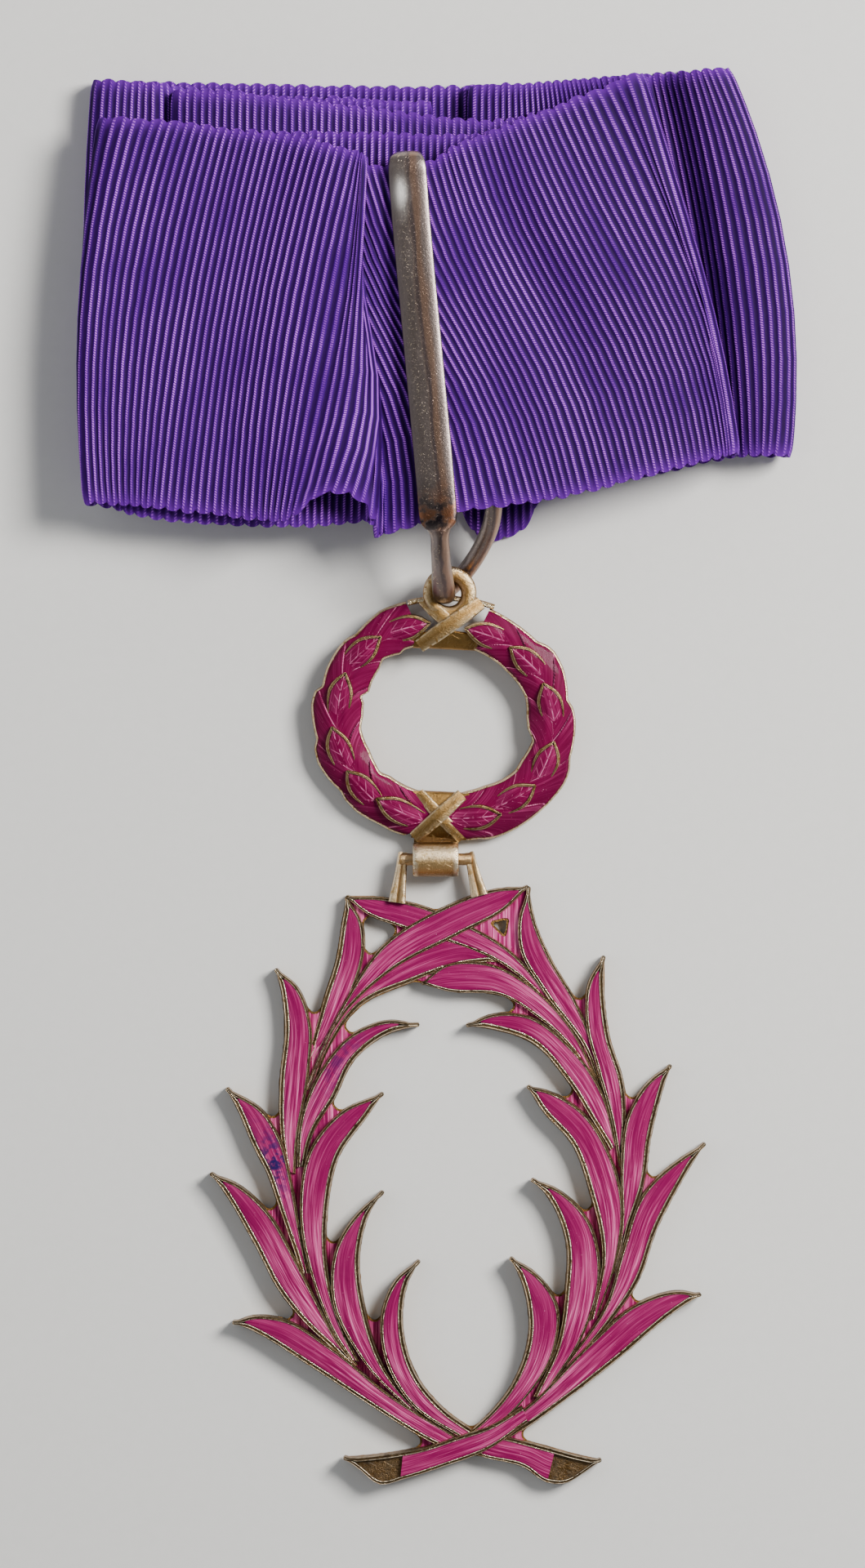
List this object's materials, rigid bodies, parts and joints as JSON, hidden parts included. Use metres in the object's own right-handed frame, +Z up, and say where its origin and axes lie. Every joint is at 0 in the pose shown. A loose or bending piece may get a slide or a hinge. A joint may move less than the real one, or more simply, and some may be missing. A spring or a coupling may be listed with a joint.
{
  "type": "neck badge",
  "caption": "Openwork neck badge of crossed enamelled palm branches hinged under a laurel wreath, on a long wire loop with a folded grosgrain neck ribbon.",
  "frame": {"origin": "on the surface that the badge lies on, under the middle of its outline", "axes": "+Z up, out of the badge's front; +Y from the palms towards the ribbon; +X to the right, seen from the front"},
  "size_m": [0.0709, 0.1411, 0.0104],
  "materials": {
    "ribbon": "ribbed silk grosgrain",
    "clasp_metal": "plain",
    "loop_metal": "tarnished silver",
    "gilt_metal": "worn gilt, tarnished in its hollows",
    "enamel": "translucent fired enamel"
  },
  "bodies": {
    "ribbon_and_wreath": {"neck_ribbon": "ribbon", "neck_clasp": "clasp_metal", "ribbon_loop": "loop_metal", "wreath_metal": "gilt_metal", "wreath_enamel": "enamel"},
    "palms": {"palms_metal": "gilt_metal", "left_palm_enamel": "enamel", "right_palm_enamel": "enamel"}
  },
  "joints": [
    {"name": "palms_hinge", "type": "hinge", "parent": "ribbon_and_wreath", "child": "palms", "pos_m": [0.0002, -0.008, 0.00175], "axis": [-1, 0, 0], "range_deg": [-110, 120]}
  ]
}
